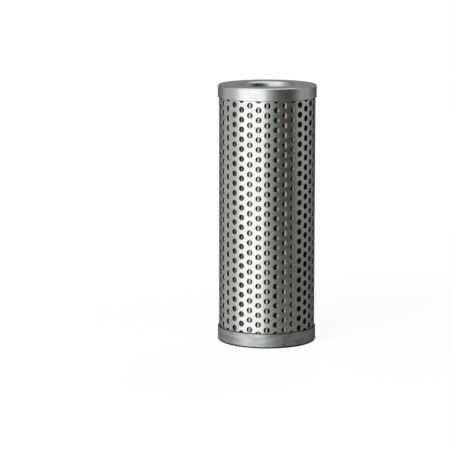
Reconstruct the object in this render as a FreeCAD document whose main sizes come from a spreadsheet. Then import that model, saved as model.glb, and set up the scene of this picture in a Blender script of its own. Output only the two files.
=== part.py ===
import FreeCAD, Part
import os

import Sketcher
from FreeCAD import Placement, Rotation, Vector

# Pleated filter element: a closed ring of folded filter paper inside a perforated tube,
# held at each end in a stamped ring-shaped cap with an open bore.
# Millimetres, +Z along the axis, origin at the middle of the foot.

SIZES = {
    # The whole element
    "element_length": 127.0,
    "cap_radius": 24.2,
    "bore_radius": 13.2,
    # Stamped end caps: sheet, skirts over the tube, collars into the bore, broken edges
    "cap_sheet": 0.5,
    "top_skirt": 6.3,
    "bottom_skirt": 7.2,
    "collar_depth": 4.5,
    "corner_break": 0.6,
    "lip_break": 0.6,
    # Perforated tube, which slides into the skirts
    "sheet_fit": 0.05,
    "tube_sheet": 0.6,
    "column_pairs": 10,
    "row_pitch": 8.1,
    "hole_width": 4.8,
    "plain_margin": 1.2,
    # Cast bond that fills the channel of each cap
    "bond_depth": 3.0,
    # Folded filter paper: crests outside, roots towards the bore
    "pleat_count": 34,
    "paper_thickness": 0.45,
    "crest_width": 1.3,
    "root_width": 1.3,
    "crest_clearance": 0.2,
    "root_clearance": 0.55,
    # Folded strip that clamps the paper's seam
    "clip_sheet": 0.3,
    "clip_leg": 3.2,
    "clip_fit": 0.04,
}

# Two lengths nearer than this are the same
CLOSE = 1e-6

# Sizes that follow from the driving ones, in the sheet's own names
COLUMN_STEP = "(180 / Sizes.column_pairs)"
HALF_FLAT = "(90 / Sizes.column_pairs)"
TUBE_OUTER = "(Sizes.cap_radius - Sizes.cap_sheet - Sizes.sheet_fit)"
TUBE_INNER = f"({TUBE_OUTER} - Sizes.tube_sheet / cos({HALF_FLAT}))"
TUBE_LENGTH = "(Sizes.element_length - 2 * Sizes.cap_sheet)"
HOLE_CORNER = "(Sizes.hole_width / 2 / cos(30))"
OPEN_HEIGHT = "(Sizes.element_length - Sizes.top_skirt - Sizes.bottom_skirt)"
ROW_ROOM = f"({OPEN_HEIGHT} - 2 * Sizes.plain_margin - 2 * {HOLE_CORNER})"
COLLAR_OUTER = "(Sizes.bore_radius + Sizes.cap_sheet)"
BOND_FACE = "(Sizes.cap_sheet + Sizes.bond_depth)"
HALF_PLEAT = "(180 / Sizes.pleat_count)"
CREST_RADIUS = f"({TUBE_INNER} * cos({HALF_FLAT}) - Sizes.crest_clearance)"
ROOT_RADIUS = f"({COLLAR_OUTER} + Sizes.root_clearance)"
PLEAT_LENGTH = f"(Sizes.element_length - 2 * {BOND_FACE})"
HALF_CREST = "(Sizes.crest_width / 2)"
HALF_ROOT = "(Sizes.root_width / 2)"
SEAM_ANGLE = f"((2 * floor(Sizes.pleat_count / 2) + 1) * {HALF_PLEAT})"


def make_sheet(doc):
    """Put every driving dimension in a cell of its own, with its name as alias."""
    sheet = doc.addObject("Spreadsheet::Sheet", "Sizes")
    for row, (name, value) in enumerate(SIZES.items(), start=1):
        sheet.set(f"A{row}", name)
        sheet.set(f"B{row}", str(value))
        sheet.setAlias(f"B{row}", name)
    doc.recompute()


def worked_out(doc, expression):
    """The number that an expression over the sheet's names comes to."""
    return float(doc.getObject("Sizes").evalExpression(expression))


def add_piece(doc, kind, label):
    """A sub-part's own object, whose label is the name of the piece."""
    piece = doc.addObject(kind, label)
    piece.Label = label
    return piece


def origin_item(body, role):
    """One of the body's own origin planes or axes."""
    return next(item for item in body.Origin.OriginFeatures if item.Role == role)


def add_outline(body, name, plane, corners):
    """A closed sketch of straight sides, each corner held by two distances from the origin."""
    sketch = body.newObject("Sketcher::SketchObject", name)
    sketch.AttachmentSupport = (origin_item(body, plane), [""])
    sketch.MapMode = "FlatFace"
    points = [Vector(worked_out(body.Document, x), worked_out(body.Document, y), 0) for x, y in corners]
    count = len(points)
    for index, point in enumerate(points):
        sketch.addGeometry(Part.LineSegment(point, points[(index + 1) % count]), False)
    for index in range(count):
        sketch.addConstraint(Sketcher.Constraint("Coincident", index, 2, (index + 1) % count, 1))
    for index, (x, y) in enumerate(corners):
        across = sketch.addConstraint(Sketcher.Constraint("DistanceX", -1, 1, index, 1, points[index].x))
        sketch.setExpression(f"Constraints[{across}]", x)
        up = sketch.addConstraint(Sketcher.Constraint("DistanceY", -1, 1, index, 1, points[index].y))
        sketch.setExpression(f"Constraints[{up}]", y)
    return sketch


def revolve(body, name, corners):
    """Turn an outline of radius and height about the element's axis."""
    sketch = add_outline(body, f"{name}_section", "XZ_Plane", corners)
    turned = body.newObject("PartDesign::Revolution", name)
    turned.Profile = sketch
    turned.ReferenceAxis = (sketch, ["V_Axis"])
    turned.Angle = 360
    return turned


def extrude(body, name, corners, length):
    """Raise an outline drawn across the axis to a length."""
    sketch = add_outline(body, f"{name}_section", "XY_Plane", corners)
    pad = body.newObject("PartDesign::Pad", name)
    pad.Profile = sketch
    pad.setExpression("Length", length)
    return pad


def break_edge(body, name, base, radius, size):
    """Take the sharpness off the round edge of this radius on the cap's outer face."""
    body.Document.recompute()
    wanted = worked_out(body.Document, radius)
    for number, edge in enumerate(base.Shape.Edges, start=1):
        curve = edge.Curve
        on_face = isinstance(curve, Part.Circle) and abs(curve.Center.z) < CLOSE
        if on_face and abs(curve.Radius - wanted) < CLOSE:
            chamfer = body.newObject("PartDesign::Chamfer", name)
            chamfer.Base = (base, [f"Edge{number}"])
            chamfer.setExpression("Size", size)
            return chamfer
    raise RuntimeError(f"{base.Label} has no round edge of radius {wanted}")


def build_end_cap(doc, label, skirt):
    """Stamped ring: a flat annulus with a skirt outside and a collar turned into the bore."""
    body = add_piece(doc, "PartDesign::Body", label)
    corners = [
        ("Sizes.bore_radius", "0"),
        ("Sizes.cap_radius", "0"),
        ("Sizes.cap_radius", f"Sizes.{skirt}"),
        ("Sizes.cap_radius - Sizes.cap_sheet", f"Sizes.{skirt}"),
        ("Sizes.cap_radius - Sizes.cap_sheet", "Sizes.cap_sheet"),
        (COLLAR_OUTER, "Sizes.cap_sheet"),
        (COLLAR_OUTER, "Sizes.collar_depth"),
        ("Sizes.bore_radius", "Sizes.collar_depth"),
    ]
    channel = revolve(body, f"{label}_channel", corners)
    corner = break_edge(body, f"{label}_corner", channel, "Sizes.cap_radius", "Sizes.corner_break")
    break_edge(body, f"{label}_lip", corner, "Sizes.bore_radius", "Sizes.lip_break")
    return body


def build_top_end_cap(doc):
    """The foot's cap again, with its own skirt, turned over onto the element's top."""
    cap = build_end_cap(doc, "top_end_cap", "top_skirt")
    cap.Placement = Placement(Vector(0, 0, 0), Rotation(Vector(1, 0, 0), 180))
    cap.setExpression("Placement.Base.z", "Sizes.element_length")
    return cap


def add_prism(doc, name, circumradius, base_height, height):
    """An upright prism with as many flats as the tube has columns, one flat to the front."""
    prism = doc.addObject("Part::Prism", name)
    prism.Placement = Placement(Vector(0, 0, 1), Rotation(Vector(0, 0, 1), 1))
    prism.setExpression("Placement.Base.z", base_height)
    prism.setExpression("Placement.Rotation.Angle", f"270 - {HALF_FLAT}")
    prism.setExpression("Polygon", "2 * Sizes.column_pairs")
    prism.setExpression("Circumradius", circumradius)
    prism.setExpression("Height", height)
    return prism


def add_punches(doc):
    """One six-sided punch for each hole, in staggered columns, with none along the rear seam."""
    punch = doc.addObject("Part::Prism", "punch")
    punch.Polygon = 6
    punch.setExpression("Circumradius", HOLE_CORNER)
    punch.setExpression("Height", "3 * Sizes.tube_sheet")
    doc.recompute()
    point_up = Rotation(Vector(1, 0, 0), 90).multiply(Rotation(Vector(0, 0, 1), 30))
    inside_wall = worked_out(doc, f"{TUBE_INNER} * cos({HALF_FLAT}) - Sizes.tube_sheet")
    columns = 2 * int(worked_out(doc, "Sizes.column_pairs"))
    rows = int(worked_out(doc, f"floor({ROW_ROOM} / Sizes.row_pitch) + 1"))
    pitch = worked_out(doc, "Sizes.row_pitch")
    spare = worked_out(doc, OPEN_HEIGHT) - (rows - 1) * pitch
    first_height = worked_out(doc, "Sizes.bottom_skirt") + spare / 2
    seam_column = columns // 2
    copies = []
    for column in range(columns):
        if column == seam_column:
            continue
        staggered = column % 2
        turn = Rotation(Vector(0, 0, 1), column * worked_out(doc, COLUMN_STEP))
        for row in range(rows - staggered):
            height = first_height + (row + staggered / 2) * pitch
            copy = punch.Shape.copy()
            start = turn.multVec(Vector(0, -inside_wall, height))
            copy.Placement = Placement(start, turn.multiply(point_up))
            copies.append(copy)
    field = doc.addObject("Part::Feature", "hole_field")
    field.Shape = Part.makeCompound(copies)
    return field


def build_outer_tube(doc):
    """Sheet punched in staggered columns and rolled up, flat across each column of holes."""
    rolled = doc.addObject("Part::Cut", "rolled_sheet")
    rolled.Base = add_prism(doc, "sheet_outside", TUBE_OUTER, "Sizes.cap_sheet", TUBE_LENGTH)
    rolled.Tool = add_prism(doc, "sheet_inside", TUBE_INNER, "Sizes.cap_sheet", TUBE_LENGTH)
    tube = add_piece(doc, "Part::Cut", "outer_tube")
    tube.Base = rolled
    tube.Tool = add_punches(doc)
    return tube


def build_bond_ring(doc, label, base_height):
    """Cast ring that fills the channel of a cap from its collar to the tube's flats."""
    ring = add_piece(doc, "Part::Cut", label)
    outer = f"{TUBE_INNER} - Sizes.sheet_fit"
    ring.Base = add_prism(doc, f"{label}_cast", outer, base_height, "Sizes.bond_depth")
    middle = doc.addObject("Part::Cylinder", f"{label}_middle")
    middle.setExpression("Radius", f"{COLLAR_OUTER} + Sizes.sheet_fit")
    middle.setExpression("Height", "Sizes.element_length")
    ring.Tool = middle
    return ring


def beside_root(radius, offset):
    """A corner at a root, as far to the crest's side of the root's middle as the offset says."""
    x = f"{radius} * sin({HALF_PLEAT}) - {offset} * cos({HALF_PLEAT})"
    y = f"-({radius} * cos({HALF_PLEAT}) + {offset} * sin({HALF_PLEAT}))"
    return x, y


def build_pleated_media(doc):
    """Paper folded to and fro into a closed ring, which stands on the lower bond."""
    body = add_piece(doc, "PartDesign::Body", "pleated_media")
    paper = "Sizes.paper_thickness"
    right = [
        (HALF_CREST, f"-{CREST_RADIUS}"),
        beside_root(f"({ROOT_RADIUS} + {paper})", f"({HALF_ROOT} - {paper})"),
        beside_root(f"({ROOT_RADIUS} + {paper})", "0"),
        beside_root(ROOT_RADIUS, "0"),
        beside_root(ROOT_RADIUS, HALF_ROOT),
        (f"{HALF_CREST} - {paper}", f"-({CREST_RADIUS} - {paper})"),
    ]
    left = [(f"-({x})", y) for x, y in reversed(right)]
    pleat = extrude(body, "pleat", right + left, PLEAT_LENGTH)
    ring = body.newObject("PartDesign::PolarPattern", "pleats")
    ring.Originals = [pleat]
    ring.Axis = (origin_item(body, "Z_Axis"), [""])
    ring.Angle = 360
    ring.setExpression("Occurrences", "Sizes.pleat_count")
    body.Tip = ring
    body.setExpression("Placement.Base.z", BOND_FACE)
    return body


def build_seam_clip(doc):
    """Strip folded into a U over the rear root, where the paper's two ends meet."""
    body = add_piece(doc, "PartDesign::Body", "seam_clip")
    crest_inside = f"({CREST_RADIUS} - Sizes.paper_thickness)"
    crest_half = f"({HALF_CREST} - Sizes.paper_thickness)"
    flank_across = f"({crest_inside} * sin({HALF_PLEAT}) - {crest_half} * cos({HALF_PLEAT}) - {HALF_ROOT})"
    flank_out = f"({crest_inside} * cos({HALF_PLEAT}) + {crest_half} * sin({HALF_PLEAT}) - {ROOT_RADIUS})"
    inside = f"({HALF_ROOT} + Sizes.clip_fit)"
    flare = f"(Sizes.clip_leg * {flank_across} / {flank_out})"
    bridge = f"({ROOT_RADIUS} - Sizes.clip_fit)"
    leg_end = f"({ROOT_RADIUS} + Sizes.clip_leg)"
    right = [
        (inside, f"-{bridge}"),
        (f"{inside} + {flare}", f"-{leg_end}"),
        (f"{inside} + {flare} + Sizes.clip_sheet", f"-{leg_end}"),
        (f"{inside} + Sizes.clip_sheet", f"-({bridge} - Sizes.clip_sheet)"),
    ]
    left = [(f"-({x})", y) for x, y in reversed(right)]
    extrude(body, "folded_strip", right + left, PLEAT_LENGTH)
    body.Placement = Placement(Vector(0, 0, 1), Rotation(Vector(0, 0, 1), 1))
    body.setExpression("Placement.Base.z", BOND_FACE)
    body.setExpression("Placement.Rotation.Angle", SEAM_ANGLE)
    return body


def main():
    doc = FreeCAD.newDocument("pleated_filter_element")
    make_sheet(doc)
    pieces = [
        build_end_cap(doc, "bottom_end_cap", "bottom_skirt"),
        build_top_end_cap(doc),
        build_bond_ring(doc, "bottom_bond_ring", "Sizes.cap_sheet"),
        build_bond_ring(doc, "top_bond_ring", f"Sizes.element_length - {BOND_FACE}"),
        build_outer_tube(doc),
        build_pleated_media(doc),
        build_seam_clip(doc),
    ]
    doc.recompute()
    for item in doc.Objects:
        if "Invalid" in item.State or "Error" in item.State:
            raise RuntimeError(f"{item.Label} failed to build")
    for piece in pieces:
        shape = piece.Shape
        if shape.isNull() or not shape.isValid() or len(shape.Solids) != 1:
            raise RuntimeError(f"{piece.Label} is not one valid solid")
    os.makedirs("parts", exist_ok=True)
    for piece in pieces:
        piece.Shape.exportStep(f"parts/{piece.Label}.step")


main()
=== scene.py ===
import math
import random

import bpy
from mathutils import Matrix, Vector


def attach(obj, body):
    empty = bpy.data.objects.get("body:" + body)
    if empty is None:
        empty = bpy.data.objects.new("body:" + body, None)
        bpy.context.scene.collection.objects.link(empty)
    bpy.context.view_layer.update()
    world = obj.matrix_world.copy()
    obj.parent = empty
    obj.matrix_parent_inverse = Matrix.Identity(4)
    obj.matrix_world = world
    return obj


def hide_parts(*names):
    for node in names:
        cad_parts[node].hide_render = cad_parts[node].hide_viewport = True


# Upright filter element on a white ground. The element's own lengths are in millimetres until its
# meshes are made, and those in the materials and the studio are in metres. An angle round the axis
# is 0 at the front (-Y) and grows towards +X. Columns and pleats are numbered from the front, and in
# the tables that follow the photograph a number below 0 is at the left.

MM = 0.001
FULL_TURN = 2 * math.pi

# Whole element
LENGTH = 127.0
CAP_RADIUS = 24.2
BORE_RADIUS = 13.2

# Stamped caps. The bends at rim and lip are given to the middle of the sheet.
CAP_SHEET = 0.5
HALF_SHEET = CAP_SHEET / 2
TOP_SKIRT = 6.3
BOTTOM_SKIRT = 7.2
COLLAR_DEPTH = 4.5
TOP_CORNER = 0.7
FOOT_CORNER = 0.35
LIP_WIDTH = 1.5
LIP_HEIGHT = 2.9
LATHE_STEPS = 192
LIP_STEPS = 16
CORNER_STEPS = 10
EDGE_STEPS = 6

# Cast bond in the caps
BOND_FACE = 3.5
BOND_CREEP = 0.3
BOND_CORNER = 0.5
BOND_SLACK = 0.02
BOND_LIP_STEPS = 8
BOND_CORNER_STEPS = 5
BOND_CREEP_STEPS = 4

# Perforated tube
TUBE_RADIUS = 23.65
TUBE_SHEET = 0.6
TUBE_INSIDE = TUBE_RADIUS - TUBE_SHEET
TUBE_END_GAP = 1.15
COLUMNS = 34
FIRST_COLUMN = math.radians(0.31)
SEAM_COLUMN = 17
PITCH = 4.7625
EVEN_TOP = 118.58
EVEN_HOLES = 24
STAGGER = 2.63
HOLE_RADIUS = 1.43
RIM_ROUND = 0.09
# How far the holes of a column lie beside the middle of their pitch
HOLE_ASIDE = {-4: 0.12, -2: 0.08, -1: 0.10, 0: 0.02, 3: -0.06, 4: -0.19, 5: -0.30, 6: -0.44, 7: -0.58}
# Columns that a blunter punch has opened wider, by radius
HOLE_WIDER = {0: 0.08, 3: 0.05, 4: 0.08, 5: 0.10, 6: 0.10}
# Steps along half a side and a whole side of the cell of sheet round a hole, and points all round it
SIDE_STEPS = 3
CELL_STEPS = 2 * SIDE_STEPS
RING_POINTS = 4 * CELL_STEPS
# Rings of points round a hole, from the outer surface through the hole to the inner one
HOLE_RINGS = ("outer_edge", "rim", "throat", "burr", "inner_edge")
# Shares of a column's width, and how deep the outer surface is sunk there: plain sheet, and the butted seam
EVEN_FORM = [(step / CELL_STEPS, 0.0) for step in range(CELL_STEPS + 1)]
SEAM_FORM = [
    (0.0, 0.0), (0.25, 0.0), (0.42, 0.0), (0.47, 0.02), (0.5, 0.14), (0.53, 0.02), (0.58, 0.0), (0.75, 0.0),
    (1.0, 0.0),
]

# Folded paper
PLEATS = 34
PAPER = 0.45
CREST_TOP = 22.85
ROOT_BOTTOM = 14.25
FOLD_RADIUS = 0.58
PAPER_LOW = 3.5
PAPER_HIGH = 123.5
PAPER_LEVELS = 16
CREST_STEPS = 5
ROOT_STEPS = 4
# How far crests lie beside the middle of their pitch, in degrees, and how far below the others
CREST_LEAN = {
    -6: -3.2, -5: -1.2, -4: -4.0, -3: -2.6, -2: -0.5, -1: 0.1, 0: 0.1, 1: 4.0, 2: 2.7, 3: 3.6, 4: 0.8,
}
CREST_DROP = {-4: 1.0, -3: 0.9, -2: 0.1, -1: 0.1, 3: 0.15, 4: 2.4, 5: 2.6, 6: 2.6, 7: 2.2, 8: 1.2}
# Crests that are folded wider or tighter than the others
CREST_FOLD = {-2: 0.72, -1: 0.70, 0: 0.62, 3: 0.52}
# Chance spreads: lean in degrees and drop of the other crests, and the slow sway along the height
PAPER_SEED = 34
LOOSE_LEAN = 0.9
LOOSE_DROP = 0.35
SWAY_DEGREES = (0.15, 0.45)
SWAY_PHASE = (0, 6.28)
SWAY_WAVES = (0.6, 1.3)


def polar(radius, angle, height):
    """A point of the row frame from radius, angle and height, in metres."""
    return (radius * math.sin(angle) * MM, -radius * math.cos(angle) * MM, height * MM)


def outward(angle):
    return Vector((math.sin(angle), -math.cos(angle), 0.0))


def from_front(number, count):
    """A column or pleat counted from the front, below 0 at the left."""
    return number if number <= count // 2 else number - count


def make_object(name, points, faces, corner_normals):
    """A mesh object whose shading normals are given for every corner of every face."""
    mesh = bpy.data.meshes.new(name)
    mesh.from_pydata(points, [], faces)
    mesh.polygons.foreach_set("use_smooth", [True] * len(mesh.polygons))
    mesh.normals_split_custom_set(corner_normals)
    mesh.update()
    piece = bpy.data.objects.new(name, mesh)
    bpy.context.collection.objects.link(piece)
    return piece


# Perforated tube


class Sheet:
    """Points and faces of rolled sheet metal, with shared corners and a normal for each corner."""

    def __init__(self):
        self.points = []
        self.known = {}
        self.faces = []
        self.normals = []

    def point(self, surface, radius, angle, height):
        turned = angle % FULL_TURN
        if turned > FULL_TURN - 1e-7:
            turned = 0.0
        key = (surface, round(turned, 7), round(height, 5))
        if key not in self.known:
            self.known[key] = len(self.points)
            self.points.append(polar(radius, angle, height))
        return self.known[key]

    def face(self, corners):
        """Corners are pairs of point number and normal."""
        self.faces.append([number for number, _ in corners])
        self.normals.extend(normal for _, normal in corners)


def column_angle(column):
    return FIRST_COLUMN + column * FULL_TURN / COLUMNS


def angle_in_column(column, share):
    """Angle at a share of a column's width, from 0 at its left side to 1 at its right."""
    return column_angle(column) + (share - 0.5) * FULL_TURN / COLUMNS


def side_levels():
    """Heights of the points on every line between two columns, from the lower end to the upper."""
    breaks = []
    for row in range(EVEN_HOLES + 1):
        breaks.append(EVEN_TOP + STAGGER - row * PITCH + PITCH / 2)
        breaks.append(EVEN_TOP + PITCH / 2 - row * PITCH)
    breaks.append(EVEN_TOP + STAGGER - EVEN_HOLES * PITCH - PITCH / 2)
    breaks.sort()
    levels = [TUBE_END_GAP, breaks[0]]
    for low, high in zip(breaks, breaks[1:]):
        levels.extend(low + (high - low) * step / SIDE_STEPS for step in range(1, SIDE_STEPS + 1))
    levels.append(LENGTH - TUBE_END_GAP)
    return levels


def nearest(levels, height):
    """Number of the level that lies nearest to a height."""
    return min(range(len(levels)), key=lambda number: abs(levels[number] - height))


def hole_cell(sheet, column, centre, levels):
    """One hole with its rounded rim and wall, and the sheet round it on both surfaces."""
    place = from_front(column, COLUMNS)
    angle = column_angle(column) + HOLE_ASIDE.get(place, 0.0) / TUBE_RADIUS
    opening = HOLE_RADIUS + HOLE_WIDER.get(place, 0.0)
    low = nearest(levels, centre - PITCH / 2)
    edge = [(1.0, levels[low + step]) for step in range(CELL_STEPS)]
    edge += [(1.0 - step / CELL_STEPS, levels[low + CELL_STEPS]) for step in range(CELL_STEPS)]
    edge += [(0.0, levels[low + CELL_STEPS - step]) for step in range(CELL_STEPS)]
    edge += [(step / CELL_STEPS, levels[low]) for step in range(CELL_STEPS)]
    rings = {ring: [] for ring in HOLE_RINGS}
    for number, (share, height) in enumerate(edge):
        side = angle_in_column(column, share)
        rings["outer_edge"].append((sheet.point("outer", TUBE_RADIUS, side, height), outward(side)))
        rings["inner_edge"].append((sheet.point("inner", TUBE_INSIDE, side, height), -outward(side)))
        turn = math.radians(-45 + 360 * number / RING_POINTS)
        inwards = outward(angle + math.pi / 2) * -math.cos(turn) + Vector((0, 0, -math.sin(turn)))
        for ring, depth, radius, normal in (
            ("rim", TUBE_RADIUS, opening + RIM_ROUND, None),
            ("throat", TUBE_RADIUS - RIM_ROUND, opening, inwards),
            ("burr", TUBE_INSIDE, opening, inwards),
        ):
            beside = angle + math.asin(radius * math.cos(turn) / depth)
            spot = sheet.point(ring, depth, beside, centre + radius * math.sin(turn))
            rings[ring].append((spot, normal or outward(beside)))
    for first, second in zip(HOLE_RINGS, HOLE_RINGS[1:]):
        for number in range(RING_POINTS):
            after = (number + 1) % RING_POINTS
            quad = [rings[first][number], rings[first][after], rings[second][after], rings[second][number]]
            if second == "inner_edge":
                quad[:2] = [(spot, -outward(angle)) for spot, _ in quad[:2]]
            sheet.face(quad)


def plain_patch(sheet, column, levels, low, high, form):
    """Sheet without holes between two levels of a column, on both surfaces.

    Only along the sides of the column does it take up the points of every level between.
    """
    for surface, radius, sign in (("outer", TUBE_RADIUS, 1), ("inner", TUBE_INSIDE, -1)):
        for number in range(len(form) - 1):
            sides = []
            for place, every_level in ((number + 1, number + 2 == len(form)), (number, number == 0)):
                share, sink = form[place]
                angle = angle_in_column(column, share)
                depth = radius - (sink if sign > 0 else 0.0)
                normal = outward(angle) * sign
                heights = levels[low:high + 1] if every_level else [levels[low], levels[high]]
                sides.append([(sheet.point(surface, depth, angle, height), normal) for height in heights])
            right, left = sides
            loop = [left[0]] + right + left[:0:-1]
            sheet.face(loop if sign > 0 else loop[::-1])


def tube_end(sheet, column, height, form, up):
    """The cut edge of the sheet at one end of a column."""
    normal = Vector((0, 0, 1 if up else -1))
    angles = [angle_in_column(column, share) for share, _ in form]
    for first, second in zip(angles, angles[1:]):
        corners = (
            ("outer", TUBE_RADIUS, first),
            ("outer", TUBE_RADIUS, second),
            ("inner", TUBE_INSIDE, second),
            ("inner", TUBE_INSIDE, first),
        )
        quad = [(sheet.point(surface, radius, angle, height), normal) for surface, radius, angle in corners]
        sheet.face(quad if up else quad[::-1])


def build_tube():
    """Sheet with staggered columns of round holes, butted along a plain strip at the rear."""
    sheet = Sheet()
    levels = side_levels()
    last = len(levels) - 1
    for column in range(COLUMNS):
        form = EVEN_FORM
        if column == SEAM_COLUMN:
            form = SEAM_FORM
            for low in range(last):
                plain_patch(sheet, column, levels, low, low + 1, form)
        else:
            odd = column % 2
            holes = EVEN_HOLES + odd
            top = EVEN_TOP + odd * STAGGER
            for row in range(holes):
                hole_cell(sheet, column, top - row * PITCH, levels)
            low = nearest(levels, top - (holes - 1) * PITCH - PITCH / 2)
            high = nearest(levels, top + PITCH / 2)
            plain_patch(sheet, column, levels, 0, low, form)
            plain_patch(sheet, column, levels, high, last, form)
        tube_end(sheet, column, levels[0], form, False)
        tube_end(sheet, column, levels[-1], form, True)
    return make_object("perforated_tube", sheet.points, sheet.faces, sheet.normals)


# Caps and bond, as sections of radius, height and normal, foot down


def directions(start, end, steps):
    """Unit directions from one angle to another, in degrees."""
    for step in range(steps + 1):
        turn = math.radians(start + (end - start) * step / steps)
        yield math.cos(turn), math.sin(turn)


def arc(centre, radius, start, end, steps):
    """Points of an arc with their directions from its centre."""
    ways = directions(start, end, steps)
    return [(centre[0] + radius * x, centre[1] + radius * y, (x, y)) for x, y in ways]


def lip_bend(steps):
    """Middle line and normals of the sheet where it bends from the bore into the flat ring."""
    line = []
    for across, along in directions(180, 270, steps):
        normal = Vector((across / LIP_WIDTH, along / LIP_HEIGHT)).normalized()
        radius = BORE_RADIUS + HALF_SHEET + LIP_WIDTH * (1 + across)
        line.append((radius, HALF_SHEET + LIP_HEIGHT * (1 + along), tuple(normal)))
    return line


def bent_line(skirt, corner):
    """Middle line and normals of the cap's sheet, from the collar's end to the skirt's."""
    outer = CAP_RADIUS - HALF_SHEET
    line = [(BORE_RADIUS + HALF_SHEET, COLLAR_DEPTH - HALF_SHEET, (-1.0, 0.0))]
    line.extend(lip_bend(LIP_STEPS))
    start = line[-1][0]
    for share in (0.25, 0.5, 0.75):
        line.append((start + share * (outer - corner - start), HALF_SHEET, (0.0, -1.0)))
    line.extend(arc((outer - corner, HALF_SHEET + corner), corner, 270, 360, CORNER_STEPS))
    line.append((outer, (corner + skirt) / 2, (1.0, 0.0)))
    line.append((outer, skirt - HALF_SHEET, (1.0, 0.0)))
    return line


def cap_section(skirt, corner):
    """Closed section of the cap, with rounded sheet edges."""
    line = bent_line(skirt, corner)
    section = [(r + HALF_SHEET * n[0], z + HALF_SHEET * n[1], n) for r, z, n in line]
    section.extend(arc(line[-1][:2], HALF_SHEET, 0, 180, EDGE_STEPS)[1:-1])
    section.extend((r - HALF_SHEET * n[0], z - HALF_SHEET * n[1], (-n[0], -n[1])) for r, z, n in line[::-1])
    section.extend(arc(line[0][:2], HALF_SHEET, 0, 180, EDGE_STEPS)[1:-1])
    return section


def bond_section():
    """Section of the cast bond, which fills the channel and creeps a little up both walls."""
    inner = BORE_RADIUS + CAP_SHEET + BOND_SLACK
    outer = TUBE_INSIDE - BOND_SLACK
    crept = BOND_FACE + BOND_CREEP
    corner_height = CAP_SHEET + BOND_SLACK + BOND_CORNER
    off_line = HALF_SHEET + BOND_SLACK
    outline = [(r - off_line * n[0], z - off_line * n[1]) for r, z, n in lip_bend(BOND_LIP_STEPS)]
    for centre, radius, start, end, steps in (
        ((outer - BOND_CORNER, corner_height), BOND_CORNER, 270, 360, BOND_CORNER_STEPS),
        ((outer - BOND_CREEP, crept), BOND_CREEP, 360, 270, BOND_CREEP_STEPS),
        ((inner + BOND_CREEP, crept), BOND_CREEP, 270, 180, BOND_CREEP_STEPS),
    ):
        outline.extend(spot[:2] for spot in arc(centre, radius, start, end, steps))
    section = []
    for number, (radius, height) in enumerate(outline):
        before = outline[number - 1]
        after = outline[(number + 1) % len(outline)]
        across, along = after[0] - before[0], after[1] - before[1]
        size = math.hypot(across, along)
        section.append((radius, height, (along / size, -across / size)))
    return section


def turn_about_axis(name, section, turned_over):
    """The section turned about the axis, foot down or turned over onto the top."""
    up = -1 if turned_over else 1
    points = []
    normals = []
    for step in range(LATHE_STEPS):
        angle = FULL_TURN * step / LATHE_STEPS
        for radius, height, normal in section:
            points.append(polar(radius, angle, LENGTH - height if turned_over else height))
            normals.append(outward(angle) * normal[0] + Vector((0, 0, up * normal[1])))
    count = len(section)
    faces = []
    for step in range(LATHE_STEPS):
        here = step * count
        there = (step + 1) % LATHE_STEPS * count
        for place in range(count):
            beyond = (place + 1) % count
            quad = [here + place, there + place, there + beyond, here + beyond]
            faces.append(quad[::-1] if turned_over else quad)
    corner_normals = [normals[number] for face in faces for number in face]
    return make_object(name, points, faces, corner_normals)


# Folded paper


def in_plan(angle, radius):
    """A point seen from above."""
    return Vector((math.sin(angle), -math.cos(angle))) * radius


def fold_line(crest_angle, root_angle, side, drop, crest_fold):
    """Half a pleat from the middle of its crest to the middle of a root, in plan, with normals."""
    crest_radius = crest_fold - PAPER / 2
    root_radius = FOLD_RADIUS - PAPER / 2
    crest = in_plan(crest_angle, CREST_TOP - drop - crest_fold)
    root = in_plan(root_angle, ROOT_BOTTOM + FOLD_RADIUS)
    between = root - crest
    heading = math.atan2(between.y, between.x)
    lean = math.asin((crest_radius + root_radius) / between.length) * side
    flank = heading + lean
    line = []

    def bend(centre, radius, start, end, sign, steps):
        """The short way round from one direction to another."""
        swing = (end - start + math.pi) % FULL_TURN - math.pi
        for step in range(steps + 1):
            turn = start + swing * step / steps
            direction = Vector((math.cos(turn), math.sin(turn)))
            line.append((centre + direction * radius, direction * sign))

    crest_start = math.atan2(crest.y, crest.x)
    root_end = math.atan2(-root.y, -root.x)
    bend(crest, crest_radius, crest_start, flank + side * math.pi / 2, 1, CREST_STEPS)
    bend(root, root_radius, flank - side * math.pi / 2, root_end, -1, ROOT_STEPS)
    return line


def pleat_shapes():
    """Each pleat's lean, drop and fold, and the amount, phase and waves of its sway."""
    rng = random.Random(PAPER_SEED)
    shapes = []
    for pleat in range(PLEATS):
        place = from_front(pleat, PLEATS)
        # The two pleats beside the clip at the rear stand straight
        loose = 0.0 if place in (PLEATS // 2, PLEATS // 2 - PLEATS + 1) else 1.0
        lean = math.radians(CREST_LEAN.get(place, rng.uniform(-LOOSE_LEAN, LOOSE_LEAN) * loose))
        drop = CREST_DROP.get(place, rng.uniform(0.0, LOOSE_DROP) * loose)
        amount = math.radians(rng.uniform(*SWAY_DEGREES)) * loose
        phase = rng.uniform(*SWAY_PHASE)
        waves = rng.uniform(*SWAY_WAVES)
        shapes.append((lean, drop, CREST_FOLD.get(place, FOLD_RADIUS), amount, phase, waves))
    return shapes


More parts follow.
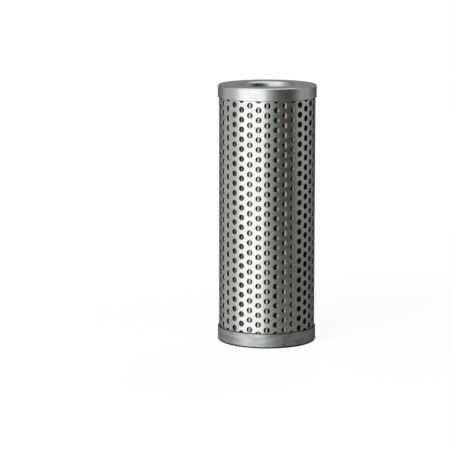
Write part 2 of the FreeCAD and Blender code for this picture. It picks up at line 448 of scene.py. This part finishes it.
def build_paper():
    """Paper folded to and fro into a ring, its folds a little uneven as hand-set ones are."""
    pitch = FULL_TURN / PLEATS
    shapes = pleat_shapes()
    points = []
    normals = []
    for level in range(PAPER_LEVELS + 1):
        share = level / PAPER_LEVELS
        height = PAPER_LOW + share * (PAPER_HIGH - PAPER_LOW)
        held = math.sin(math.pi * share) ** 0.5
        outer = []
        inner = []
        for pleat, (lean, drop, fold, amount, phase, waves) in enumerate(shapes):
            crest = pleat * pitch + lean + amount * held * math.sin(phase + waves * FULL_TURN * share)
            before = fold_line(crest, (pleat - 0.5) * pitch, -1, drop, fold)
            after = fold_line(crest, (pleat + 0.5) * pitch, 1, drop, fold)
            for spot, normal in before[:0:-1] + after[:-1]:
                outer.append((spot + normal * PAPER / 2, normal))
                inner.append((spot - normal * PAPER / 2, -normal))
        for spot, normal in outer + inner[::-1]:
            points.append((spot.x * MM, spot.y * MM, height * MM))
            normals.append(Vector((normal.x, normal.y, 0)))
    count = len(outer)
    width = 2 * count
    faces = []
    corner_normals = []
    for level in range(PAPER_LEVELS):
        for start in (0, count):
            for step in range(count):
                second = level * width + start + step
                first = level * width + start + (step + 1) % count
                quad = [first, second, second + width, first + width]
                faces.append(quad)
                corner_normals.extend(normals[number] for number in quad)
    for level, up in ((0, -1), (PAPER_LEVELS, 1)):
        for step in range(count):
            after = (step + 1) % count
            low = level * width
            high = low + width - 1
            quad = [low + step, low + after, high - after, high - step]
            faces.append(quad[::-1] if up > 0 else quad)
            corner_normals.extend([Vector((0, 0, up))] * 4)
    return make_object("folded_paper", points, faces, corner_normals)


# Materials. Tones come in pairs of light and dark.

BRIGHT_ZINC = ((0.80, 0.81, 0.81), (0.74, 0.75, 0.755))
# The foot's tones are darker than the top cap's: painted shade on the lower cap
FOOT_ZINC = ((0.76, 0.775, 0.77), (0.58, 0.60, 0.60))
CLIP_ZINC = ((0.70, 0.71, 0.71), (0.60, 0.61, 0.62))
RESIN = ((0.19, 0.18, 0.165), (0.11, 0.105, 0.10))
# Painted shade on cut edges and walls: its colour, and how metallic it leaves them
CUT_EDGE_SHADE = (0.045, 0.045, 0.044)
CUT_EDGE_SHADE_METALLIC = 0.4
# Tone of painted shade: down the bore's lip, along the foot's lower edge and on the tube above the foot
PAINTED_SHADE_TONE = (0.06, 0.058, 0.054)
# How far scuffs shift the edge of the painted shade below a height
PAINTED_SHADE_UNEVEN = 0.0006
# Radii between which painted shade fades out from the bore over the lip, from this share of the
# shade tone, and those between which the lip's lines end
BORE_SHADE_SPAN = (0.0132, 0.0139)
BORE_SHADE_SHARE = 0.42
BORE_LINES = (0.0142, 0.0150)
WEAR_SHARE = 0.8
FIBRES = [(0.3, (0.34, 0.28, 0.21)), (0.5, (0.52, 0.45, 0.36)), (0.72, (0.66, 0.59, 0.50))]
FIBRE_STRETCH = 3.0
MOTTLE = [(0.3, (0.84, 0.80, 0.76)), (0.7, (1.0, 1.0, 1.0))]
MOTTLE_SHARE = 0.6
# Shade of the paper between the pleats, from the radius of the roots to that of the crests
PLEAT_SPAN = (0.014, 0.023)
PLEAT_SHADE = [(0.12, 1.0), (0.3, 0.10), (0.7, 0.09), (0.88, 0.5), (0.97, 1.0)]


def grey(value):
    return (value, value, value)


def greys(stops):
    return [(place, grey(value)) for place, value in stops]


class Nodes:
    """Short names for making and joining shader nodes."""

    def __init__(self, tree):
        self.tree = tree
        tree.nodes.clear()

    def add(self, kind, **values):
        node = self.tree.nodes.new(kind)
        for name, value in values.items():
            setattr(node, name, value)
        return node

    def join(self, source, target):
        self.tree.links.new(source, target)

    def feed(self, value, target):
        """Set a socket to a colour or a number, or join another node's socket to it."""
        if isinstance(value, tuple):
            target.default_value = (*value, 1.0)
        elif isinstance(value, (int, float)):
            target.default_value = value
        else:
            self.join(value, target)

    def math(self, operation, *values):
        node = self.add("ShaderNodeMath", operation=operation)
        for place, value in enumerate(values):
            self.feed(value, node.inputs[place])
        return node.outputs[0]

    def noise(self, vector, scale, detail=3.0, roughness=0.5):
        node = self.add("ShaderNodeTexNoise")
        node.inputs["Scale"].default_value = scale
        node.inputs["Detail"].default_value = detail
        node.inputs["Roughness"].default_value = roughness
        self.join(vector, node.inputs["Vector"])
        return node.outputs["Fac"]

    def ramp(self, value, stops, smooth=False):
        node = self.add("ShaderNodeValToRGB")
        node.color_ramp.interpolation = "EASE" if smooth else "LINEAR"
        elements = node.color_ramp.elements
        while len(elements) < len(stops):
            elements.new(0.5)
        for element, (place, colour) in zip(elements, stops):
            element.position = place
            element.color = (*colour, 1.0)
        self.join(value, node.inputs["Fac"])
        return node.outputs["Color"]

    def spread(self, value, low, high, out_low, out_high):
        """Map a value from one span to another, clamped."""
        node = self.add("ShaderNodeMapRange")
        self.join(value, node.inputs["Value"])
        spans = {"From Min": low, "From Max": high, "To Min": out_low, "To Max": out_high}
        for name, number in spans.items():
            node.inputs[name].default_value = number
        return node.outputs["Result"]

    def mix(self, factor, first, second, blend="MIX"):
        node = self.add("ShaderNodeMix", data_type="RGBA", blend_type=blend)
        for place, value in ((0, factor), (6, first), (7, second)):
            self.feed(value, node.inputs[place])
        return node.outputs[2]

    def split(self, vector):
        node = self.add("ShaderNodeSeparateXYZ")
        self.join(vector, node.inputs[0])
        return list(node.outputs)

    def stretched(self, parts, factors):
        """Vector of three parts, each times its factor."""
        node = self.add("ShaderNodeCombineXYZ")
        for place, (part, factor) in enumerate(zip(parts, factors)):
            self.join(self.math("MULTIPLY", part, factor), node.inputs[place])
        return node.outputs[0]

    def bump(self, height, distance, strength, below=None):
        node = self.add("ShaderNodeBump")
        node.inputs["Distance"].default_value = distance
        node.inputs["Strength"].default_value = strength
        self.join(height, node.inputs["Height"])
        if below is not None:
            self.join(below, node.inputs["Normal"])
        return node.outputs["Normal"]


def new_material(name):
    """A material with its nodes, its output's surface socket and the place in the row frame."""
    material = bpy.data.materials.new(name)
    material.use_nodes = True
    nodes = Nodes(material.node_tree)
    surface = nodes.add("ShaderNodeOutputMaterial").inputs[0]
    place = nodes.add("ShaderNodeTexCoord").outputs["Object"]
    return material, nodes, surface, place


def shaded_material(name):
    material, nodes, surface, place = new_material(name)
    shader = nodes.add("ShaderNodeBsdfPrincipled")
    nodes.join(shader.outputs[0], surface)
    return material, nodes, shader, place


def radius_of(nodes, x, y):
    return nodes.math("SQRT", nodes.math("ADD", nodes.math("MULTIPLY", x, x), nodes.math("MULTIPLY", y, y)))


def zinc_steel(name, tones, rough, line_scale, line_strength, streak_depth, cut_edge_shade_span, shade_below=None):
    """Zinc plated sheet with fine lines round the axis, cloudy plating, wiped smears and small scuffs.

    Cut edges and walls within a span of one coordinate get painted shade, a dark and less metallic
    colour. More painted shade lies below a height, fading over a span, and down the bore's lip.
    """
    material, nodes, shader, place = shaded_material(name)
    x, y, z = nodes.split(place)
    radius = radius_of(nodes, x, y)
    angle = nodes.math("ARCTAN2", y, x)
    lines_at = nodes.stretched((radius, angle, z), (line_scale, 1.3, line_scale))
    lines = nodes.noise(lines_at, scale=1.0, detail=4.0, roughness=0.65)
    clouds = nodes.noise(place, scale=95.0, detail=4.0, roughness=0.55)
    scuffs = nodes.noise(place, scale=420.0, detail=4.0, roughness=0.7)
    smears = nodes.noise(nodes.stretched((x, y, z), (0.2, 0.2, 1.0)), scale=640.0, roughness=0.55)
    grain = nodes.noise(place, scale=2600.0, detail=2.0, roughness=0.6)

    light, dark = tones
    colour = nodes.ramp(clouds, [(0.3, dark), (0.7, light)], smooth=True)
    worn = nodes.ramp(scuffs, greys([(0.32, 1.0 - 0.5 * streak_depth), (0.62, 1.0)]))
    wiped = nodes.ramp(smears, greys([(0.36, 1.0 - streak_depth), (0.60, 1.0)]), smooth=True)
    streak = nodes.ramp(lines, greys([(0.25, 1.0 - streak_depth), (0.75, 1.0)]))
    for layer in (worn, wiped, streak):
        colour = nodes.mix(WEAR_SHARE, colour, layer, "MULTIPLY")
    # Painted shade down the bore's lip
    colour = nodes.mix(nodes.spread(radius, *BORE_SHADE_SPAN, BORE_SHADE_SHARE, 0.0), colour, PAINTED_SHADE_TONE)
    # Painted shade on cut edges and walls within the span, dark and less metallic
    coordinate, low, high = cut_edge_shade_span
    reach = {"radius": radius, "height": z}[coordinate]
    above, below = nodes.math("GREATER_THAN", reach, low), nodes.math("LESS_THAN", reach, high)
    cut_edge_shade_mask = nodes.math("MULTIPLY", above, below)
    colour = nodes.mix(cut_edge_shade_mask, colour, CUT_EDGE_SHADE)
    # Painted shade below a height, its edge shifted by the scuffs
    if shade_below:
        uneven = nodes.math("MULTIPLY_ADD", scuffs, PAINTED_SHADE_UNEVEN, z)
        colour = nodes.mix(nodes.spread(uneven, *shade_below, 1.0, 0.0), colour, PAINTED_SHADE_TONE)
    nodes.join(colour, shader.inputs["Base Color"])
    nodes.join(nodes.spread(cut_edge_shade_mask, 0.0, 1.0, 1.0, CUT_EDGE_SHADE_METALLIC), shader.inputs["Metallic"])

    blotches = nodes.math("MULTIPLY", nodes.math("ADD", scuffs, smears), 0.3)
    blend = nodes.math("MULTIPLY_ADD", clouds, 0.4, blotches)
    nodes.join(nodes.spread(blend, 0.3, 0.7, *rough), shader.inputs["Roughness"])
    waves = nodes.bump(nodes.noise(place, scale=55.0, detail=2.0), distance=0.00025, strength=0.12)
    drawn = nodes.math("MULTIPLY", lines, nodes.spread(radius, *BORE_LINES, 0.1, 1.0))
    fine = nodes.bump(drawn, distance=0.00004, strength=line_strength, below=waves)
    nodes.join(nodes.bump(grain, distance=0.00002, strength=0.2, below=fine), shader.inputs["Normal"])
    return material


def filter_paper():
    """Resin-treated paper: matted fibres, a little mottled, darker along some of them."""
    material, nodes, shader, place = shaded_material("filter_paper")
    parts = nodes.split(place)
    upright = nodes.stretched(parts, (FIBRE_STRETCH, FIBRE_STRETCH, 1.0))
    level = nodes.stretched(parts, (1.0, 1.0, FIBRE_STRETCH))
    fibres = nodes.noise(upright, scale=900.0, detail=5.0, roughness=0.65)
    crossing = nodes.noise(level, scale=1300.0, detail=4.0, roughness=0.6)
    matted = nodes.math("MULTIPLY", nodes.math("ADD", fibres, crossing), 0.5)
    mottle = nodes.ramp(nodes.noise(place, scale=160.0), MOTTLE)
    colour = nodes.mix(MOTTLE_SHARE, nodes.ramp(matted, FIBRES), mottle, "MULTIPLY")
    depth = nodes.spread(radius_of(nodes, *parts[:2]), *PLEAT_SPAN, 0.0, 1.0)
    colour = nodes.mix(1.0, colour, nodes.ramp(depth, greys(PLEAT_SHADE)), "MULTIPLY")
    nodes.join(colour, shader.inputs["Base Color"])
    shader.inputs["Roughness"].default_value = 0.92
    shader.inputs["Specular IOR Level"].default_value = 0.25
    nodes.join(nodes.bump(matted, distance=0.00012, strength=0.6), shader.inputs["Normal"])
    return material


def cast_resin():
    """Dark cast adhesive with a skin that is glossier in places, and small pits."""
    material, nodes, shader, place = shaded_material("bond_resin")
    light, dark = RESIN
    clouds = nodes.noise(place, scale=240.0, detail=4.0)
    pits = nodes.noise(place, scale=1500.0, detail=2.0)
    nodes.join(nodes.ramp(clouds, [(0.3, dark), (0.7, light)]), shader.inputs["Base Color"])
    nodes.join(nodes.spread(clouds, 0.3, 0.7, 0.35, 0.6), shader.inputs["Roughness"])
    nodes.join(nodes.bump(pits, distance=0.00008, strength=0.4), shader.inputs["Normal"])
    return material


# Studio

WHITE = (1.0, 1.0, 1.0)
# Ground: the grey of its surface, how much of its look is glow instead, and the radii and strengths
# between which the glow rises
GROUND = grey(0.86)
GROUND_GLOW = 0.90
GROUND_RISE = (0.1, 0.9, 1.0, 1.09)
GROUND_RADIUS = 3.6
GROUND_STEPS = 64
SOFT_FILL = 0.35
WALL_RADIUS = 1.6
WALL_LOW = -1.8
WALL_HIGH = 2.2
WALL_STEPS = 96

# Brightness of what stands round the element, by direction in degrees from the camera's side, above 0
# to the right: a large soft box at the left, a dark card at the right of the camera, a dimmer light
# further round at the right, and a dim strip behind between two dark cards. The upper light is what
# the top of the tube throws back, and the lower light what its foot does.
LIGHT_LEFT = [
    (-180, 0.50), (-168, 0.34), (-158, 0.15), (-134, 0.23), (-120, 0.45), (-88, 0.53), (-74, 0.77),
    (-62, 1.32),
]
LIGHT_REAR_RIGHT = [(142, 0.11), (158, 0.07), (168, 0.17), (180, 0.50)]
UPPER_LIGHT = LIGHT_LEFT + [
    (-28, 1.29), (-10, 1.36), (-2, 0.72), (6, 0.40), (14, 0.28), (24, 0.12), (48, 0.05), (58, 0.06),
    (70, 0.17), (82, 0.40), (108, 0.36), (124, 0.27),
] + LIGHT_REAR_RIGHT
LOWER_LIGHT = LIGHT_LEFT + [
    (-28, 1.34), (-18, 1.35), (-10, 0.94), (-2, 0.56), (6, 0.33), (14, 0.28), (24, 0.18), (48, 0.14),
    (70, 0.15), (108, 0.17),
] + LIGHT_REAR_RIGHT
LIGHT_TINT = [
    (-180, (0.94, 1.0, 0.98)), (-160, (1.0, 1.0, 0.97)), (-134, (1.04, 1.01, 0.93)), (-82, (0.96, 1.0, 0.98)),
    (-40, (1.01, 1.0, 0.99)), (0, (0.98, 1.01, 0.99)), (12, (0.91, 1.045, 1.02)), (26, (1.0, 1.015, 0.96)),
    (55, (1.05, 1.03, 0.92)), (100, (0.98, 1.01, 0.98)), (160, (1.0, 1.0, 0.98)), (180, (0.94, 1.0, 0.98)),
]
# Brightness of the ground in the metal: pale at the camera's side, and dark at the rear right
GROUND_LIGHT = [
    (-180, 0.40), (-90, 0.35), (-56, 0.72), (-34, 0.80), (-10, 0.80), (10, 0.50), (36, 0.50), (64, 0.62),
    (86, 0.05), (150, 0.05), (180, 0.40),
]
# How much lower on the wall the lower light ends at the left and in front than elsewhere, in metres
EDGE_LOWERED = [(-170, 0.0), (-150, 0.09), (52, 0.09), (76, 0.0)]
# Where the backdrop stands, and its brightness from its lower to its upper part
BEHIND = [(-122, 1.0), (-112, 0.0), (112, 0.0), (122, 1.0)]
BACKDROP = (0.10, 0.25)
# Heights on the wall: where the lower light gives way to the upper, the backdrop begins, and the ground ends
LIGHT_SPAN = (-0.24, -0.09)
BACKDROP_SPAN = (-0.05, 0.01, 0.26)
GROUND_SPAN = (-0.67, -0.34)

SOFTBOX_AIM = Vector((0, 0, 0.06))
CAMERA_PLACE = (0.0, -1.0459, 0.2268)
CAMERA_LOOK = Vector((-0.01949, 0.98690, -0.16012))
CAMERA_LENS = 171.67
CAMERA_SENSOR = 36.0
CAMERA_CLIP = (0.01, 50.0)


def floor_material():
    """White ground: it looks white to the camera and still takes a soft share of the shadow."""
    material, nodes, surface, place = new_material("white_ground")
    paper = nodes.add("ShaderNodeBsdfDiffuse")
    nodes.feed(GROUND, paper.inputs["Color"])
    glow = nodes.add("ShaderNodeEmission")
    nodes.feed(WHITE, glow.inputs["Color"])
    radius = radius_of(nodes, *nodes.split(place)[:2])
    nodes.join(nodes.spread(radius, *GROUND_RISE), glow.inputs["Strength"])
    path = nodes.add("ShaderNodeLightPath").outputs
    seen = nodes.math("MAXIMUM", path["Is Camera Ray"], path["Is Transmission Ray"])
    mix = nodes.add("ShaderNodeMixShader")
    nodes.join(nodes.math("MULTIPLY", seen, GROUND_GLOW), mix.inputs[0])
    nodes.join(paper.outputs[0], mix.inputs[1])
    nodes.join(glow.outputs[0], mix.inputs[2])
    nodes.join(mix.outputs[0], surface)
    return material


def wall_material():
    """The studio's soft boxes and dark cards, as brightness by direction and height."""
    material, nodes, surface, place = new_material("studio_cards")
    material.cycles.emission_sampling = "NONE"
    x, y, z = nodes.split(place)
    turn = nodes.math("ARCTAN2", x, nodes.math("MULTIPLY", y, -1.0))
    share = nodes.math("MULTIPLY_ADD", turn, 1 / FULL_TURN, 0.5)

    def by_direction(stops):
        return nodes.ramp(share, [(degrees / 360 + 0.5, colour) for degrees, colour in stops])

    lower, upper, ground, lowered, behind = (
        by_direction(greys(stops)) for stops in (LOWER_LIGHT, UPPER_LIGHT, GROUND_LIGHT, EDGE_LOWERED, BEHIND)
    )
    light = nodes.mix(nodes.spread(nodes.math("ADD", z, lowered), *LIGHT_SPAN, 0.0, 1.0), lower, upper)
    high_behind = nodes.math("MULTIPLY", behind, nodes.spread(z, *BACKDROP_SPAN[:2], 0.0, 1.0))
    light = nodes.mix(high_behind, light, nodes.spread(z, *BACKDROP_SPAN[1:], *BACKDROP))
    light = nodes.mix(nodes.spread(z, *GROUND_SPAN, 1.0, 0.0), light, ground)
    glow = nodes.add("ShaderNodeEmission")
    nodes.join(by_direction(LIGHT_TINT), glow.inputs["Color"])
    nodes.join(light, glow.inputs["Strength"])
    nodes.join(glow.outputs[0], surface)
    return material


def build_world():
    """White all round: at full strength to the camera and in metal, softer as the fill on matt surfaces."""
    world = bpy.data.worlds.new("studio")
    bpy.context.scene.world = world
    world.use_nodes = True
    world.cycles.sampling_method = "NONE"
    nodes = Nodes(world.node_tree)
    output = nodes.add("ShaderNodeOutputWorld")
    white = nodes.add("ShaderNodeBackground")
    nodes.feed(WHITE, white.inputs["Color"])
    path = nodes.add("ShaderNodeLightPath").outputs
    seen = nodes.math("MAXIMUM", path["Is Camera Ray"], path["Is Glossy Ray"])
    seen = nodes.math("MAXIMUM", seen, path["Is Transmission Ray"])
    nodes.join(nodes.math("MULTIPLY_ADD", seen, 1.0 - SOFT_FILL, SOFT_FILL), white.inputs["Strength"])
    nodes.join(white.outputs[0], output.inputs[0])


def circle(radius, height, steps):
    return [
        (radius * math.cos(FULL_TURN * step / steps), radius * math.sin(FULL_TURN * step / steps), height)
        for step in range(steps)
    ]


def studio_object(name, points, faces, material):
    mesh = bpy.data.meshes.new(name)
    mesh.from_pydata(points, [], faces)
    mesh.materials.append(material)
    thing = bpy.data.objects.new(name, mesh)
    bpy.context.collection.objects.link(thing)
    return thing


def build_wall():
    """A round wall with a floor, open above, that only metal and gloss see."""
    points = circle(WALL_RADIUS, WALL_LOW, WALL_STEPS) + circle(WALL_RADIUS, WALL_HIGH, WALL_STEPS)
    faces = [list(range(WALL_STEPS))]
    for step in range(WALL_STEPS):
        after = (step + 1) % WALL_STEPS
        faces.append([step, after, WALL_STEPS + after, WALL_STEPS + step])
    wall = studio_object("studio_wall", points, faces, wall_material())
    for kind in ("camera", "diffuse", "transmission", "volume_scatter", "shadow"):
        setattr(wall, "visible_" + kind, False)


def build_floor():
    points = circle(GROUND_RADIUS, 0.0, GROUND_STEPS)
    floor = studio_object("ground", points, [list(range(GROUND_STEPS))], floor_material())
    floor.visible_glossy = False


def add_softbox(name, degrees, elevation, distance, width, height, energy):
    """A soft lamp that looks at the middle of the element."""
    lamp = bpy.data.lights.new(name, "AREA")
    lamp.shape = "RECTANGLE"
    lamp.size = width
    lamp.size_y = height
    lamp.energy = energy
    holder = bpy.data.objects.new(name, lamp)
    bpy.context.collection.objects.link(holder)
    turn = math.radians(degrees)
    rise = math.radians(elevation)
    back = Vector((math.sin(turn) * math.cos(rise), -math.cos(turn) * math.cos(rise), math.sin(rise)))
    holder.location = back * distance + SOFTBOX_AIM
    holder.rotation_mode = "QUATERNION"
    holder.rotation_quaternion = back.to_track_quat("Z", "Y")
    holder.visible_glossy = False
    holder.visible_camera = False


def build_camera():
    """Long lens, a little above the element and looking down on it."""
    data = bpy.data.cameras.new("view")
    data.sensor_width = CAMERA_SENSOR
    data.lens = CAMERA_LENS
    data.clip_start, data.clip_end = CAMERA_CLIP
    camera = bpy.data.objects.new("view", data)
    bpy.context.collection.objects.link(camera)
    camera.location = CAMERA_PLACE
    camera.rotation_mode = "QUATERNION"
    camera.rotation_quaternion = CAMERA_LOOK.to_track_quat("-Z", "Y")
    bpy.context.scene.camera = camera


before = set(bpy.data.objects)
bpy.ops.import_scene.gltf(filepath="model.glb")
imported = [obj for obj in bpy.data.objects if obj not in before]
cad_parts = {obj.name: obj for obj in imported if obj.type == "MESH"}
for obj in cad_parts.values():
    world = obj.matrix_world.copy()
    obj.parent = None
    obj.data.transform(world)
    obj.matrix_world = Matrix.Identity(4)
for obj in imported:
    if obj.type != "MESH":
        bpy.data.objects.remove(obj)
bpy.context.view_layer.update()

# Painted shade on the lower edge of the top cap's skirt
top_zinc = zinc_steel(
    "top_zinc", BRIGHT_ZINC, rough=(0.16, 0.27), line_scale=2300.0, line_strength=0.5, streak_depth=0.10,
    cut_edge_shade_span=("height", 0.1206, 0.12088),
)
# Painted shade on the top edge of the foot's skirt and along its lower edge
foot_zinc = zinc_steel(
    "foot_zinc", FOOT_ZINC, rough=(0.20, 0.36), line_scale=1500.0, line_strength=0.7, streak_depth=0.30,
    cut_edge_shade_span=("height", 0.00702, 0.0073), shade_below=(0.0010, 0.0014),
)
# Painted shade in the holes' walls, on the tube's inner surface and on the tube just above the foot
tube_zinc = zinc_steel(
    "tube_zinc", BRIGHT_ZINC, rough=(0.13, 0.23), line_scale=900.0, line_strength=0.2, streak_depth=0.10,
    cut_edge_shade_span=("radius", 0.0, 0.02357), shade_below=(0.0074, 0.0082),
)
clip_zinc = zinc_steel(
    "clip_zinc", CLIP_ZINC, rough=(0.30, 0.42), line_scale=900.0, line_strength=0.2, streak_depth=0.15,
    cut_edge_shade_span=("height", 0.1234, 0.124),
)
paper = filter_paper()
resin = cast_resin()

top_section = cap_section(TOP_SKIRT, TOP_CORNER)
foot_section = cap_section(BOTTOM_SKIRT, FOOT_CORNER)
for piece, node, slot, material in (
    (turn_about_axis("rolled_top_cap", top_section, True), "top_end_cap", "cap_steel", top_zinc),
    (turn_about_axis("rolled_bottom_cap", foot_section, False), "bottom_end_cap", "cap_steel", foot_zinc),
    (turn_about_axis("cast_top_bond", bond_section(), True), "top_bond_ring", "bond_resin", resin),
    (turn_about_axis("cast_bottom_bond", bond_section(), False), "bottom_bond_ring", "bond_resin", resin),
    (build_tube(), "outer_tube", "tube_steel", tube_zinc),
    (build_paper(), "pleated_media", "filter_paper", paper),
):
    piece.data.materials.append(material)
    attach(piece, "root")
    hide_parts(node)

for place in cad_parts["seam_clip"].material_slots:
    place.material = clip_zinc

build_world()
add_softbox("key", degrees=-35, elevation=30, distance=0.9, width=0.5, height=0.6, energy=9.0)
add_softbox("rear", degrees=158, elevation=30, distance=0.9, width=0.6, height=0.6, energy=5.0)
build_wall()
build_floor()
build_camera()
bpy.context.scene.view_settings.view_transform = "Standard"
